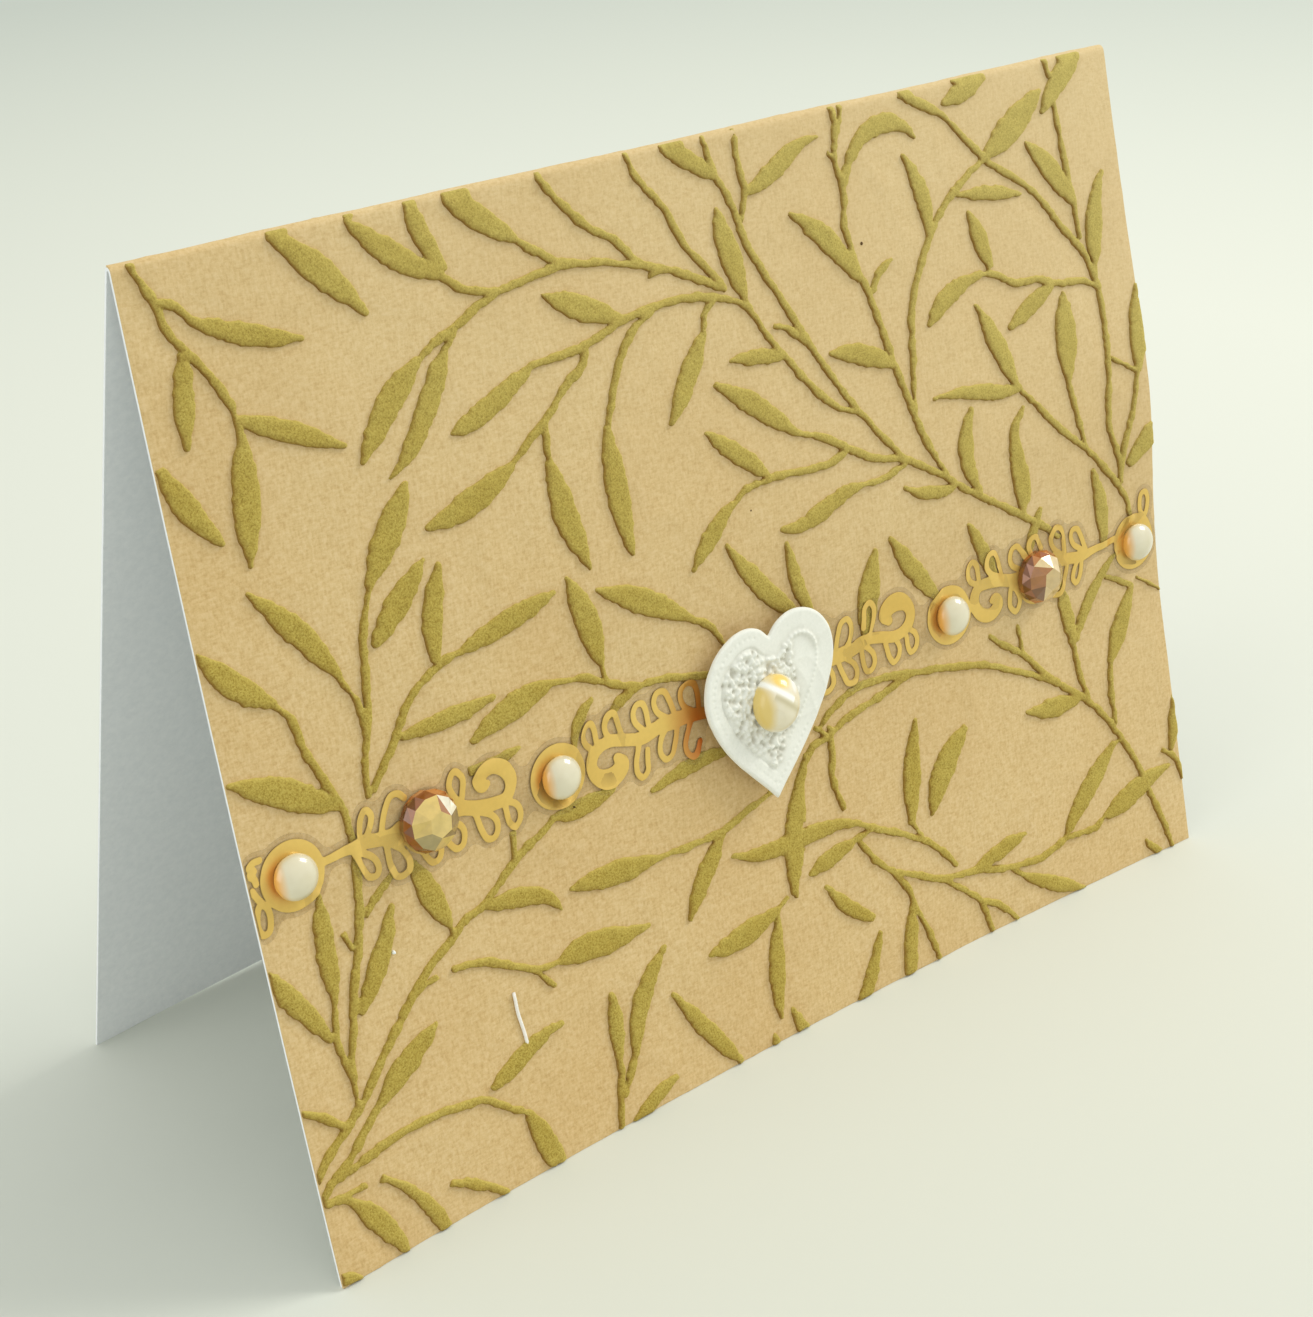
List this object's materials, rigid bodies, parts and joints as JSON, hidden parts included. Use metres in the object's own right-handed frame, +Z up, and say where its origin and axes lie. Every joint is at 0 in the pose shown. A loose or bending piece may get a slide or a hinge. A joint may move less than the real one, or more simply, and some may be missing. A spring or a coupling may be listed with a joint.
{
  "type": "folded greeting card",
  "caption": "Folded greeting card standing like a tent, covered with tan paper and raised olive vines, with a gold and pearl border and a padded heart.",
  "frame": {"origin": "centre of the footprint, on the surface that the card stands on", "axes": "+X along the fold, to the right as the front is seen; +Y towards the back panel; +Z up"},
  "size_m": [0.1396, 0.0596, 0.1049],
  "materials": {
    "card_stock": "smooth matt white card",
    "handmade_paper": "tan handmade paper with fine fibres, matt and slightly uneven",
    "flock": "raised olive flock, matt and velvety",
    "clear_film": "thin clear sticker film",
    "gold_foil": "satin gold foil",
    "pearl": "cream pearl",
    "amber_stone": "faceted amber with a foiled back",
    "foam_tape": "white foam",
    "embossed_paper": "white embossed paper",
    "cream_stone": "faceted cream stone"
  },
  "bodies": {
    "root": {"card_base": "card_stock", "cover_paper": "handmade_paper", "vine_flock": "flock", "film_strip_left": "clear_film", "film_strip_right": "clear_film", "gold_scroll_left": "gold_foil", "gold_scroll_right": "gold_foil", "pearl_1": "pearl", "pearl_2": "pearl", "pearl_3": "pearl", "pearl_4": "pearl", "amber_gem_left": "amber_stone", "amber_gem_right": "amber_stone", "foam_pad": "foam_tape", "heart": "embossed_paper", "heart_gem": "cream_stone"}
  },
  "joints": []
}
